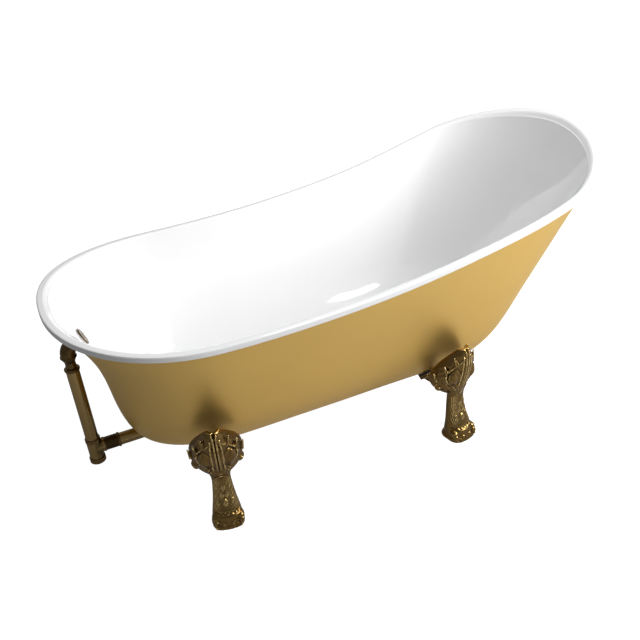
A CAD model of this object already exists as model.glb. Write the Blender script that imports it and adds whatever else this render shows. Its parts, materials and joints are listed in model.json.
"""Looks of the clawfoot slipper bath: its finishes, carved feet, floor, light and camera."""

import bpy
import json
import math
import numpy as np
from mathutils import Matrix, Vector


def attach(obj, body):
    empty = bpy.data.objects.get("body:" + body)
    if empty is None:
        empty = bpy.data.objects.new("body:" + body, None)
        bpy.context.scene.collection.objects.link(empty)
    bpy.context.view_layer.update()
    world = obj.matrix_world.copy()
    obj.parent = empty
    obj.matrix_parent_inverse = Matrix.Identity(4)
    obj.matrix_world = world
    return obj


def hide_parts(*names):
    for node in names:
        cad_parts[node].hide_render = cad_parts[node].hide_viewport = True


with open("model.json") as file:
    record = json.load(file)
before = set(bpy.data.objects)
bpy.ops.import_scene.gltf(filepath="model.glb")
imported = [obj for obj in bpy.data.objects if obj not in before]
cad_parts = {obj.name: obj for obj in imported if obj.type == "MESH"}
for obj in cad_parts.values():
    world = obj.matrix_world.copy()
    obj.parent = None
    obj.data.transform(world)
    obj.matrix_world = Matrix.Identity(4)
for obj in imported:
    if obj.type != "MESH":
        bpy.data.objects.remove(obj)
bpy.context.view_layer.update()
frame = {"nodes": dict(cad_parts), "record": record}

# ---------------------------------------------------------------- the camera, solved from the photograph

CAMERA_AZIMUTH = math.radians(-21.818)
CAMERA_ELEVATION = math.radians(31.205)
CAMERA_ROLL = math.radians(-4.89)
CAMERA_DISTANCE = 2.7453
CAMERA_TARGET = Vector((0.0480, 0.2394, 0.1643))
FOCAL_PIXELS = 768.6
FRAME_PIXELS = 640
SENSOR_WIDTH = 36.0
CAMERA_REACH = 60.0

# ---------------------------------------------------------------- finishes

ENAMEL_WHITE = (0.885, 0.885, 0.89)
GOLD_LIGHT = (0.82, 0.56, 0.17)
GOLD_DEEP = (0.74, 0.49, 0.14)
BRONZE_DARK = (0.022, 0.012, 0.004)
BRONZE_MIDDLE = (0.17, 0.105, 0.034)
BRONZE_BRIGHT = (0.95, 0.71, 0.31)
BRASS_DARK = (0.030, 0.018, 0.007)
BRASS_MIDDLE = (0.11, 0.070, 0.027)
BRASS_BRIGHT = (0.32, 0.22, 0.09)
ZINC = (0.56, 0.57, 0.58)
RUBBER_BLACK = (0.030, 0.030, 0.031)
BOARD_LIGHT = (0.52, 0.37, 0.21)
BOARD_DARK = (0.36, 0.24, 0.12)
# the roughness of the rubbed metals in their hollows and on their edges
RUBBED_HOLLOW_ROUGHNESS = 0.24
RUBBED_EDGE_ROUGHNESS = 0.15
# how far the clouds of the rubbed metals shift the border between dark and bright
RUBBED_STIR = 0.012
RUBBED_BUMP = (0.12, 0.0004)


def toned(colour, share):
    """The same colour, darker or lighter."""
    return tuple(share * c for c in colour)


def add_node(tree, kind, settings=None, values=None):
    """A node with its settings, and its sockets set by name."""
    made = tree.nodes.new(kind)
    for name, value in (settings or {}).items():
        setattr(made, name, value)
    for name, value in (values or {}).items():
        made.inputs[name].default_value = value
    return made


def new_group(name, inputs, outputs):
    """A node group with named sockets, given as (name, kind, value)."""
    group = bpy.data.node_groups.new(name, "ShaderNodeTree")
    for socket_name, kind, value in inputs:
        socket = group.interface.new_socket(socket_name, in_out="INPUT", socket_type=kind)
        socket.default_value = value
    for socket_name, kind in outputs:
        group.interface.new_socket(socket_name, in_out="OUTPUT", socket_type=kind)
    return group, group.nodes.new("NodeGroupInput"), group.nodes.new("NodeGroupOutput")


def mottle_group():
    """Two colours that drift into each other over the surface, with a fine tooth for bump."""
    group, given, result = new_group(
        "mottle",
        (("First", "NodeSocketColor", (1, 1, 1, 1)), ("Second", "NodeSocketColor", (0, 0, 0, 1)),
         ("Cloud Size", "NodeSocketFloat", 6.0), ("Tooth Size", "NodeSocketFloat", 900.0),
         ("Low Gloss", "NodeSocketFloat", 0.3), ("High Gloss", "NodeSocketFloat", 0.5)),
        (("Color", "NodeSocketColor"), ("Roughness", "NodeSocketFloat"), ("Tooth", "NodeSocketFloat")))
    links = group.links
    place = add_node(group, "ShaderNodeTexCoord")
    cloud = add_node(group, "ShaderNodeTexNoise", values={"Detail": 4.0, "Roughness": 0.55})
    tooth = add_node(group, "ShaderNodeTexNoise", values={"Detail": 2.0, "Roughness": 0.5})
    blend = add_node(group, "ShaderNodeMix", {"data_type": "RGBA"})
    gloss = add_node(group, "ShaderNodeMapRange")
    links.new(place.outputs["Object"], cloud.inputs["Vector"])
    links.new(place.outputs["Object"], tooth.inputs["Vector"])
    links.new(given.outputs["Cloud Size"], cloud.inputs["Scale"])
    links.new(given.outputs["Tooth Size"], tooth.inputs["Scale"])
    links.new(cloud.outputs["Fac"], blend.inputs["Factor"])
    links.new(given.outputs["First"], blend.inputs["A"])
    links.new(given.outputs["Second"], blend.inputs["B"])
    links.new(cloud.outputs["Fac"], gloss.inputs["Value"])
    links.new(given.outputs["Low Gloss"], gloss.inputs["To Min"])
    links.new(given.outputs["High Gloss"], gloss.inputs["To Max"])
    links.new(blend.outputs["Result"], result.inputs["Color"])
    links.new(gloss.outputs["Result"], result.inputs["Roughness"])
    links.new(tooth.outputs["Fac"], result.inputs["Tooth"])
    return group


def rubbed_group():
    """A dark finish rubbed bright where the metal stands out, and darkest in its hollows."""
    group, given, result = new_group(
        "rubbed_metal",
        (("Hollow", "NodeSocketColor", (0, 0, 0, 1)), ("Middle", "NodeSocketColor", (0.5, 0.5, 0.5, 1)),
         ("Edge", "NodeSocketColor", (1, 1, 1, 1)), ("Hollow End", "NodeSocketFloat", 0.49),
         ("Edge Start", "NodeSocketFloat", 0.51), ("Edge End", "NodeSocketFloat", 0.56),
         ("Cloud Size", "NodeSocketFloat", 40.0)),
        (("Color", "NodeSocketColor"), ("Roughness", "NodeSocketFloat"), ("Grain", "NodeSocketFloat")))
    links = group.links
    place = add_node(group, "ShaderNodeTexCoord")
    form = add_node(group, "ShaderNodeNewGeometry")
    cloud = add_node(group, "ShaderNodeTexNoise", values={"Detail": 5.0, "Roughness": 0.6})
    grain = add_node(group, "ShaderNodeTexNoise", values={"Scale": 700.0, "Detail": 2.0})
    stir = add_node(group, "ShaderNodeMapRange", values={"To Min": -RUBBED_STIR, "To Max": RUBBED_STIR})
    total = add_node(group, "ShaderNodeMath", {"operation": "ADD"})
    hollow = add_node(group, "ShaderNodeMapRange", {"interpolation_type": "SMOOTHSTEP"}, {"From Min": 0.42})
    edge = add_node(group, "ShaderNodeMapRange", {"interpolation_type": "SMOOTHSTEP"})
    first = add_node(group, "ShaderNodeMix", {"data_type": "RGBA"})
    second = add_node(group, "ShaderNodeMix", {"data_type": "RGBA"})
    gloss = add_node(group, "ShaderNodeMapRange", values={
        "To Min": RUBBED_HOLLOW_ROUGHNESS, "To Max": RUBBED_EDGE_ROUGHNESS})
    links.new(place.outputs["Object"], cloud.inputs["Vector"])
    links.new(place.outputs["Object"], grain.inputs["Vector"])
    links.new(given.outputs["Cloud Size"], cloud.inputs["Scale"])
    links.new(cloud.outputs["Fac"], stir.inputs["Value"])
    links.new(form.outputs["Pointiness"], total.inputs[0])
    links.new(stir.outputs["Result"], total.inputs[1])
    links.new(total.outputs["Value"], hollow.inputs["Value"])
    links.new(given.outputs["Hollow End"], hollow.inputs["From Max"])
    links.new(total.outputs["Value"], edge.inputs["Value"])
    links.new(given.outputs["Edge Start"], edge.inputs["From Min"])
    links.new(given.outputs["Edge End"], edge.inputs["From Max"])
    links.new(hollow.outputs["Result"], first.inputs["Factor"])
    links.new(given.outputs["Hollow"], first.inputs["A"])
    links.new(given.outputs["Middle"], first.inputs["B"])
    links.new(edge.outputs["Result"], second.inputs["Factor"])
    links.new(first.outputs["Result"], second.inputs["A"])
    links.new(given.outputs["Edge"], second.inputs["B"])
    links.new(edge.outputs["Result"], gloss.inputs["Value"])
    links.new(second.outputs["Result"], result.inputs["Color"])
    links.new(gloss.outputs["Result"], result.inputs["Roughness"])
    links.new(grain.outputs["Fac"], result.inputs["Grain"])
    return group


def new_finish(name, shader_values):
    """A material with one Principled shader, whose plain values sit on its own sockets."""
    material = bpy.data.materials.new(name)
    material.use_nodes = True
    shader = material.node_tree.nodes["Principled BSDF"]
    for socket, value in shader_values.items():
        shader.inputs[socket].default_value = value
    return material, material.node_tree, shader


def with_bump(tree, shader, height, strength, distance):
    """The surface's fine tooth, from a height that changes over it."""
    bump = add_node(tree, "ShaderNodeBump", values={"Strength": strength, "Distance": distance})
    tree.links.new(height, bump.inputs["Height"])
    tree.links.new(bump.outputs["Normal"], shader.inputs["Normal"])


def mottled_finish(name, first, second, clouds, tooth, gloss, bump, shader_values):
    """Two tones that drift into each other, with the sizes of their clouds and tooth."""
    material, tree, shader = new_finish(name, shader_values)
    mottle = add_node(tree, "ShaderNodeGroup", {"node_tree": MOTTLE}, {
        "First": (*first, 1), "Second": (*second, 1), "Cloud Size": clouds, "Tooth Size": tooth,
        "Low Gloss": gloss[0], "High Gloss": gloss[1]})
    tree.links.new(mottle.outputs["Color"], shader.inputs["Base Color"])
    tree.links.new(mottle.outputs["Roughness"], shader.inputs["Roughness"])
    with_bump(tree, shader, mottle.outputs["Tooth"], *bump)
    return material


def rubbed_finish(name, hollow, middle, edge, limits, clouds):
    """Dark, middle and bright metal, with the limits at which one turns into the next."""
    material, tree, shader = new_finish(name, {"Metallic": 1.0, "Specular IOR Level": 0.5})
    rubbed = add_node(tree, "ShaderNodeGroup", {"node_tree": RUBBED}, {
        "Hollow": (*hollow, 1), "Middle": (*middle, 1), "Edge": (*edge, 1), "Hollow End": limits[0],
        "Edge Start": limits[1], "Edge End": limits[2], "Cloud Size": clouds})
    tree.links.new(rubbed.outputs["Color"], shader.inputs["Base Color"])
    tree.links.new(rubbed.outputs["Roughness"], shader.inputs["Roughness"])
    with_bump(tree, shader, rubbed.outputs["Grain"], *RUBBED_BUMP)
    return material


MOTTLE = mottle_group()
RUBBED = rubbed_group()

finishes = {
    "enamel": mottled_finish(
        "white_enamel", ENAMEL_WHITE, toned(ENAMEL_WHITE, 0.985), clouds=3.0, tooth=160.0,
        gloss=(0.05, 0.09), bump=(0.02, 0.0004),
        shader_values={"Specular IOR Level": 0.5, "Coat Weight": 0.4, "Coat Roughness": 0.03}),
    "gold_paint": mottled_finish(
        "gold_paint", GOLD_LIGHT, GOLD_DEEP, clouds=2.5, tooth=1600.0,
        gloss=(0.44, 0.50), bump=(0.05, 0.0002),
        shader_values={"Metallic": 0.88, "Coat Weight": 0.12, "Coat Roughness": 0.30}),
    "board": mottled_finish(
        "sealed_board", BOARD_LIGHT, BOARD_DARK, clouds=24.0, tooth=500.0,
        gloss=(0.55, 0.75), bump=(0.3, 0.0006), shader_values={}),
    "foot_bronze": rubbed_finish(
        "foot_bronze", BRONZE_DARK, BRONZE_MIDDLE, BRONZE_BRIGHT, limits=(0.50, 0.51, 0.56), clouds=60.0),
    "old_brass": rubbed_finish(
        "old_brass", BRASS_DARK, BRASS_MIDDLE, BRASS_BRIGHT, limits=(0.49, 0.53, 0.62), clouds=30.0),
    "steel": mottled_finish(
        "zinc_plate", ZINC, toned(ZINC, 0.8), clouds=60.0, tooth=900.0,
        gloss=(0.28, 0.42), bump=(0.1, 0.0002), shader_values={"Metallic": 1.0}),
    "rubber": mottled_finish(
        "black_rubber", RUBBER_BLACK, toned(RUBBER_BLACK, 1.5), clouds=50.0, tooth=1200.0,
        gloss=(0.6, 0.8), bump=(0.2, 0.0003), shader_values={"Specular IOR Level": 0.35}),
}


def finish_cad_nodes():
    """Every CAD node takes the finish of its slot in the record."""
    for part in frame["record"]["subparts"]:
        mesh = frame["nodes"][part["node"]].data
        mesh.materials.clear()
        mesh.materials.append(finishes[part["material_slot"]])


# ---------------------------------------------------------------- the carved feet

MM = 0.001
FOOT_NODES = {
    # where each foot stands along the bath and on which side, and how far its toes turn
    "claw_foot_foot_end_near": (-0.517, -0.343, -12.0),
    "claw_foot_foot_end_far": (-0.517, 0.343, 192.0),
    "claw_foot_back_end_near": (0.238, -0.343, 12.0),
    "claw_foot_back_end_far": (0.238, 0.343, 168.0),
}
SKIN_VOXEL = 1.4 * MM
SKIN_SOFTENING = 0.5
SKIN_SOFT_PASSES = 2

# The carving's measures in mm: to the side of the foot's middle, and above the floor. A band is given
# by its two limits and how soft they are, a rise by where it starts and where it is full. A frequency
# is in radians for each mm, or for each radian round the fan's foot.
CARVING_DEPTH = 1.5
FACING_RISE = (0.05, 0.45)
FRONT_RISE = (-26.0, -6.0)
FAN_FOOT = 148.0
KNEE_BAND = (176.0, 318.0, 9.0)
KNEE_SIDE_RISE = (8.0, 14.0)
FLUTE_FREQUENCY = 13.0
SCALLOP_SWAY = 0.35
SCALLOP_FREQUENCY = 0.13
FLUTE_STRENGTH = 1.5
FLUTE_SINK = 1.1
EGG_CENTRE = (34.0, 231.0)
EGG_REACH = (15.0, 30.0)
EGG_CLEARING = 1.5
EGG_GROOVE_OVAL = (15.5, 32.0)
EGG_GROOVE_PLACE = 1.12
EGG_GROOVE_WIDTH = 0.10
EGG_GROOVE_DEPTH = 1.7
RING_BAND = (186.0, 312.0, 8.0)
RING_SIDE_RISE = (40.0, 52.0)
RING_FREQUENCY = 0.42
RING_STRENGTH = 0.5
SPINE_BAND = (170.0, 322.0, 6.0)
SPINE_GROOVE_WIDTH = 1.5
SPINE_GROOVE_DEPTH = 1.0
KNEE_PITS = (
    # centre, reach, tilt in degrees and depth
    ((9.5, 284.0), (3.2, 3.6), 0.0, 3.2),
    ((25.0, 190.0), (3.2, 9.0), 32.0, 3.0),
    ((50.0, 268.0), (3.0, 9.0), -28.0, 2.6),
)
GARTER_HEIGHT = 172.0
GARTER_SLOPE = 0.8
GARTER_SIDE = 22.0
GARTER_WIDTH = 2.4
GARTER_DEPTH = 1.4
HAIR_BAND = (56.0, 152.0, 8.0)
HAIR_FREQUENCY = 1.75
HAIR_SWAY = 0.9
HAIR_WAVE_FREQUENCIES = (0.1, 0.16)
HAIR_STRENGTH = 0.55
HEM_HEIGHT = 47.0
HEM_RISE = 3.4
HEM_STEP = 13.0
HEM_WIDTH = 3.0
HEM_DEPTH = 1.9
INSTEP_BAND = (30.0, 39.0, 2.5)
INSTEP_SIDE = 44.0
INSTEP_SWELL = 0.8
CREASE_HEIGHT = 22.0
CREASE_SLOPE = 0.12
CREASE_RISE = (34.0, 44.0)
CREASE_WIDTH = 1.8
CREASE_DEPTH = 0.8


def foot_matrix(node):
    """Where a foot stands, from the place in which its casting is carved."""
    x, y, turn = FOOT_NODES[node]
    return Matrix.Translation((x, y, 0)) @ Matrix.Rotation(math.radians(turn), 4, "Z")


def step_up(low, high, values):
    """A smooth rise from 0 to 1 between two limits."""
    share = np.clip((values - low) / (high - low), 0.0, 1.0)
    return share * share * (3 - 2 * share)


def band(low, high, soft, values):
    """1 between two limits, with soft ends."""
    return step_up(low - soft, low + soft, values) * (1 - step_up(high - soft, high + soft, values))


def pit(across, height, centre, reach, tilt=0.0):
    """A soft oval spot: 1 at its centre, 0 outside its reach."""
    lean = math.radians(tilt)
    along = (across - centre[0]) * math.cos(lean) + (height - centre[1]) * math.sin(lean)
    up = (height - centre[1]) * math.cos(lean) - (across - centre[0]) * math.sin(lean)
    return np.exp(-((along / reach[0]) ** 2 + (up / reach[1]) ** 2) * 1.6)


def groove(distance, width):
    """1 in a groove's middle, falling softly to 0 beyond its width."""
    return np.exp(-(distance / width) ** 2)


def foot_relief(place, facing):
    """How far the casting's carving stands out of, or lies in, each point of its skin, in mm."""
    across, deep, height = place.T
    side = np.abs(across)
    front = step_up(*FACING_RISE, -facing[:, 1]) * step_up(*FRONT_RISE, -deep)

    # acanthus flutes fan out from the knee's foot, with scalloped ends
    from_foot = np.hypot(side, height - FAN_FOOT)
    angle = np.arctan2(side, height - FAN_FOOT)
    knee = band(*KNEE_BAND, height) * step_up(*KNEE_SIDE_RISE, side)
    scallops = SCALLOP_SWAY * np.sin(from_foot * SCALLOP_FREQUENCY)
    flutes = np.abs(np.sin(angle * FLUTE_FREQUENCY + scallops))
    eggs = pit(side, height, EGG_CENTRE, EGG_REACH)
    relief = knee * (1 - np.clip(EGG_CLEARING * eggs, 0, 1)) * (FLUTE_STRENGTH * flutes - FLUTE_SINK)
    rings = np.sin(from_foot * RING_FREQUENCY) * band(*RING_BAND, height) * step_up(*RING_SIDE_RISE, side)
    relief += RING_STRENGTH * rings

    # the groove round each egg, the spine's groove, the dot and the slots beside it, the knee's garter
    egg_edge = np.hypot(
        (side - EGG_CENTRE[0]) / EGG_GROOVE_OVAL[0], (height - EGG_CENTRE[1]) / EGG_GROOVE_OVAL[1])
    relief -= EGG_GROOVE_DEPTH * groove(egg_edge - EGG_GROOVE_PLACE, EGG_GROOVE_WIDTH)
    relief -= SPINE_GROOVE_DEPTH * groove(across, SPINE_GROOVE_WIDTH) * band(*SPINE_BAND, height)
    for centre, reach, tilt, depth in KNEE_PITS:
        relief -= depth * pit(side, height, centre, reach, tilt)
    garter = groove(height - GARTER_HEIGHT + GARTER_SLOPE * side, GARTER_WIDTH)
    relief -= GARTER_DEPTH * garter * (side < GARTER_SIDE)

    # locks of hair on the leg, then a zigzag hem above the smooth instep
    wave = np.sin(height * HAIR_WAVE_FREQUENCIES[1] + side * HAIR_WAVE_FREQUENCIES[0])
    hair = np.sin(across * HAIR_FREQUENCY + HAIR_SWAY * wave)
    relief += HAIR_STRENGTH * hair * band(*HAIR_BAND, height)
    hem = HEM_HEIGHT + HEM_RISE * (2 * np.abs((across / HEM_STEP) % 1.0 - 0.5) - 0.5)
    relief -= HEM_DEPTH * groove(height - hem, HEM_WIDTH)
    relief += INSTEP_SWELL * band(*INSTEP_BAND, height) * (side < INSTEP_SIDE)

    # knuckle creases on the toes
    crease = groove(height - CREASE_HEIGHT - CREASE_SLOPE * side, CREASE_WIDTH)
    relief -= CREASE_DEPTH * crease * step_up(*CREASE_RISE, -deep)
    return CARVING_DEPTH * relief * front


def carved_foot_mesh(node):
    """The casting's CAD skin, laid out finely and evenly, with its carving worked in."""
    rough = frame["nodes"][node].data.copy()
    rough.transform(foot_matrix(node).inverted())
    worker = bpy.data.objects.new("foot_blank", rough)
    bpy.context.collection.objects.link(worker)
    skin = worker.modifiers.new("skin", "REMESH")
    skin.mode = "VOXEL"
    skin.voxel_size = SKIN_VOXEL
    soften = worker.modifiers.new("soften", "SMOOTH")
    soften.factor = SKIN_SOFTENING
    soften.iterations = SKIN_SOFT_PASSES
    carved = bpy.data.meshes.new_from_object(worker.evaluated_get(bpy.context.evaluated_depsgraph_get()))
    bpy.data.objects.remove(worker)
    count = len(carved.vertices)
    place = np.empty(count * 3, dtype=np.float32)
    facing = np.empty(count * 3, dtype=np.float32)
    carved.vertices.foreach_get("co", place)
    carved.vertex_normals.foreach_get("vector", facing)
    place, facing = place.reshape(-1, 3), facing.reshape(-1, 3)
    place += facing * (foot_relief(place / MM, facing) * MM)[:, None]
    place[:, 2] = np.maximum(place[:, 2], 0.0)
    carved.vertices.foreach_set("co", place.ravel())
    carved.update()
    carved.shade_smooth()
    carved.name = "carved_foot"
    carved.materials.clear()
    carved.materials.append(finishes["foot_bronze"])
    return carved


def stand_feet():
    """Four alike castings, each in its own place."""
    carved = carved_foot_mesh("claw_foot_foot_end_near")
    for node in FOOT_NODES:
        skin = carved.copy()
        skin.transform(foot_matrix(node))
        foot = bpy.data.objects.new("carved_" + node, skin)
        bpy.context.collection.objects.link(foot)
        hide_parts(node)
        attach(foot, "tub")


# ---------------------------------------------------------------- floor, light and camera

FLOOR_REACH = 14.0
FLOOR_DROP = 0.0005
FLOOR_WHITE = (0.42, 0.42, 0.42)
FLOOR_CLOUD_SIZE = 0.6
# how white the floor looks by itself, and how strong the even light on the bath is
FLOOR_LIFT = 0.97
WORLD_LIGHT = 0.18
# how much of the white surroundings the metal and the enamel show
MIRRORED_SHARE = 0.12
LAMPS = (
    # name, place, the point that it faces, its side in metres and its power in watts
    ("overhead", (0.95, -0.1, 2.75), (-0.2, 0.1, 0.3), 1.6, 43.0),
    ("right_floor", (1.9, -1.9, 1.7), (1.2, -0.9, 0), 1.4, 84.0),
    ("front", (2.2, -2.9, 1.9), (0.9, 0, 0.4), 1.1, 14.0),
)


def white_share(tree):
    """1 where the camera looks, a steady share of it for reflections and for what is seen through."""
    seen = add_node(tree, "ShaderNodeLightPath")
    through = add_node(tree, "ShaderNodeMath", {"operation": "MAXIMUM"})
    mirrored = add_node(tree, "ShaderNodeMath", {"operation": "MULTIPLY"})
    share = add_node(tree, "ShaderNodeMath", {"operation": "MAXIMUM"})
    mirrored.inputs[1].default_value = MIRRORED_SHARE
    tree.links.new(seen.outputs["Is Glossy Ray"], through.inputs[0])
    tree.links.new(seen.outputs["Is Transmission Ray"], through.inputs[1])
    tree.links.new(through.outputs["Value"], mirrored.inputs[0])
    tree.links.new(seen.outputs["Is Camera Ray"], share.inputs[0])
    tree.links.new(mirrored.outputs["Value"], share.inputs[1])
    return share.outputs["Value"]


def lay_floor():
    """A pale floor that takes the bath's shadow and rises into a white backdrop of its own."""
    bpy.ops.mesh.primitive_plane_add(size=2 * FLOOR_REACH, location=(0, 0, -FLOOR_DROP))
    floor = bpy.context.object
    floor.name = "floor"
    material, tree, shader = new_finish("pale_floor", {"Roughness": 0.9, "Specular IOR Level": 0.0})
    cloud = add_node(tree, "ShaderNodeTexNoise", values={"Scale": FLOOR_CLOUD_SIZE})
    tint = add_node(tree, "ShaderNodeMix", {"data_type": "RGBA"},
                    {"A": (*FLOOR_WHITE, 1), "B": (*toned(FLOOR_WHITE, 0.995), 1)})
    tree.links.new(cloud.outputs["Fac"], tint.inputs["Factor"])
    tree.links.new(tint.outputs["Result"], shader.inputs["Base Color"])
    output = tree.nodes["Material Output"]
    lift = add_node(tree, "ShaderNodeEmission", values={"Color": (1, 1, 1, 1)})
    share = add_node(tree, "ShaderNodeMath", {"operation": "MULTIPLY"})
    share.inputs[1].default_value = FLOOR_LIFT
    both = add_node(tree, "ShaderNodeAddShader")
    tree.links.new(white_share(tree), share.inputs[0])
    tree.links.new(share.outputs["Value"], lift.inputs["Strength"])
    tree.links.new(shader.outputs["BSDF"], both.inputs[0])
    tree.links.new(lift.outputs["Emission"], both.inputs[1])
    tree.links.new(both.outputs["Shader"], output.inputs["Surface"])
    floor.data.materials.append(material)


def light_world():
    """White where the camera looks, and a plain even light on the bath."""
    world = bpy.data.worlds.new("studio")
    bpy.context.scene.world = world
    world.use_nodes = True
    tree = world.node_tree
    tree.nodes.clear()
    output = tree.nodes.new("ShaderNodeOutputWorld")
    even = add_node(tree, "ShaderNodeBackground", values={"Color": (1, 1, 1, 1), "Strength": WORLD_LIGHT})
    white = add_node(tree, "ShaderNodeBackground", values={"Color": (1, 1, 1, 1), "Strength": 1.0})
    mix = tree.nodes.new("ShaderNodeMixShader")
    tree.links.new(white_share(tree), mix.inputs["Fac"])
    tree.links.new(even.outputs["Background"], mix.inputs[1])
    tree.links.new(white.outputs["Background"], mix.inputs[2])
    tree.links.new(mix.outputs["Shader"], output.inputs["Surface"])


def softbox(name, place, aim, side, power):
    """A plain white square lamp that faces a point."""
    lamp = bpy.data.lights.new(name, "AREA")
    lamp.shape = "RECTANGLE"
    lamp.size = side
    lamp.size_y = side
    lamp.energy = power
    lamp_object = bpy.data.objects.new(name, lamp)
    lamp_object.location = place
    direction = Vector(aim) - Vector(place)
    lamp_object.rotation_euler = direction.to_track_quat("-Z", "Y").to_euler()
    bpy.context.collection.objects.link(lamp_object)


def set_camera():
    """The photograph's camera: its own turn, height, roll and lens."""
    back = Vector((
        math.sin(CAMERA_AZIMUTH) * math.cos(CAMERA_ELEVATION),
        -math.cos(CAMERA_AZIMUTH) * math.cos(CAMERA_ELEVATION),
        math.sin(CAMERA_ELEVATION)))
    right = Vector((0, 0, 1)).cross(back).normalized()
    up = back.cross(right)
    across = math.cos(CAMERA_ROLL) * right + math.sin(CAMERA_ROLL) * up
    upward = math.cos(CAMERA_ROLL) * up - math.sin(CAMERA_ROLL) * right
    turn = Matrix((across, upward, back)).transposed().to_4x4()
    camera = bpy.data.objects.new("camera", bpy.data.cameras.new("camera"))
    camera.data.sensor_width = SENSOR_WIDTH
    camera.data.lens = FOCAL_PIXELS / FRAME_PIXELS * SENSOR_WIDTH
    camera.data.clip_end = CAMERA_REACH
    camera.matrix_world = Matrix.Translation(CAMERA_TARGET + back * CAMERA_DISTANCE) @ turn
    bpy.context.collection.objects.link(camera)
    bpy.context.scene.camera = camera


finish_cad_nodes()
stand_feet()
lay_floor()
light_world()
for lamp in LAMPS:
    softbox(*lamp)
set_camera()
bpy.context.scene.view_settings.view_transform = "Standard"
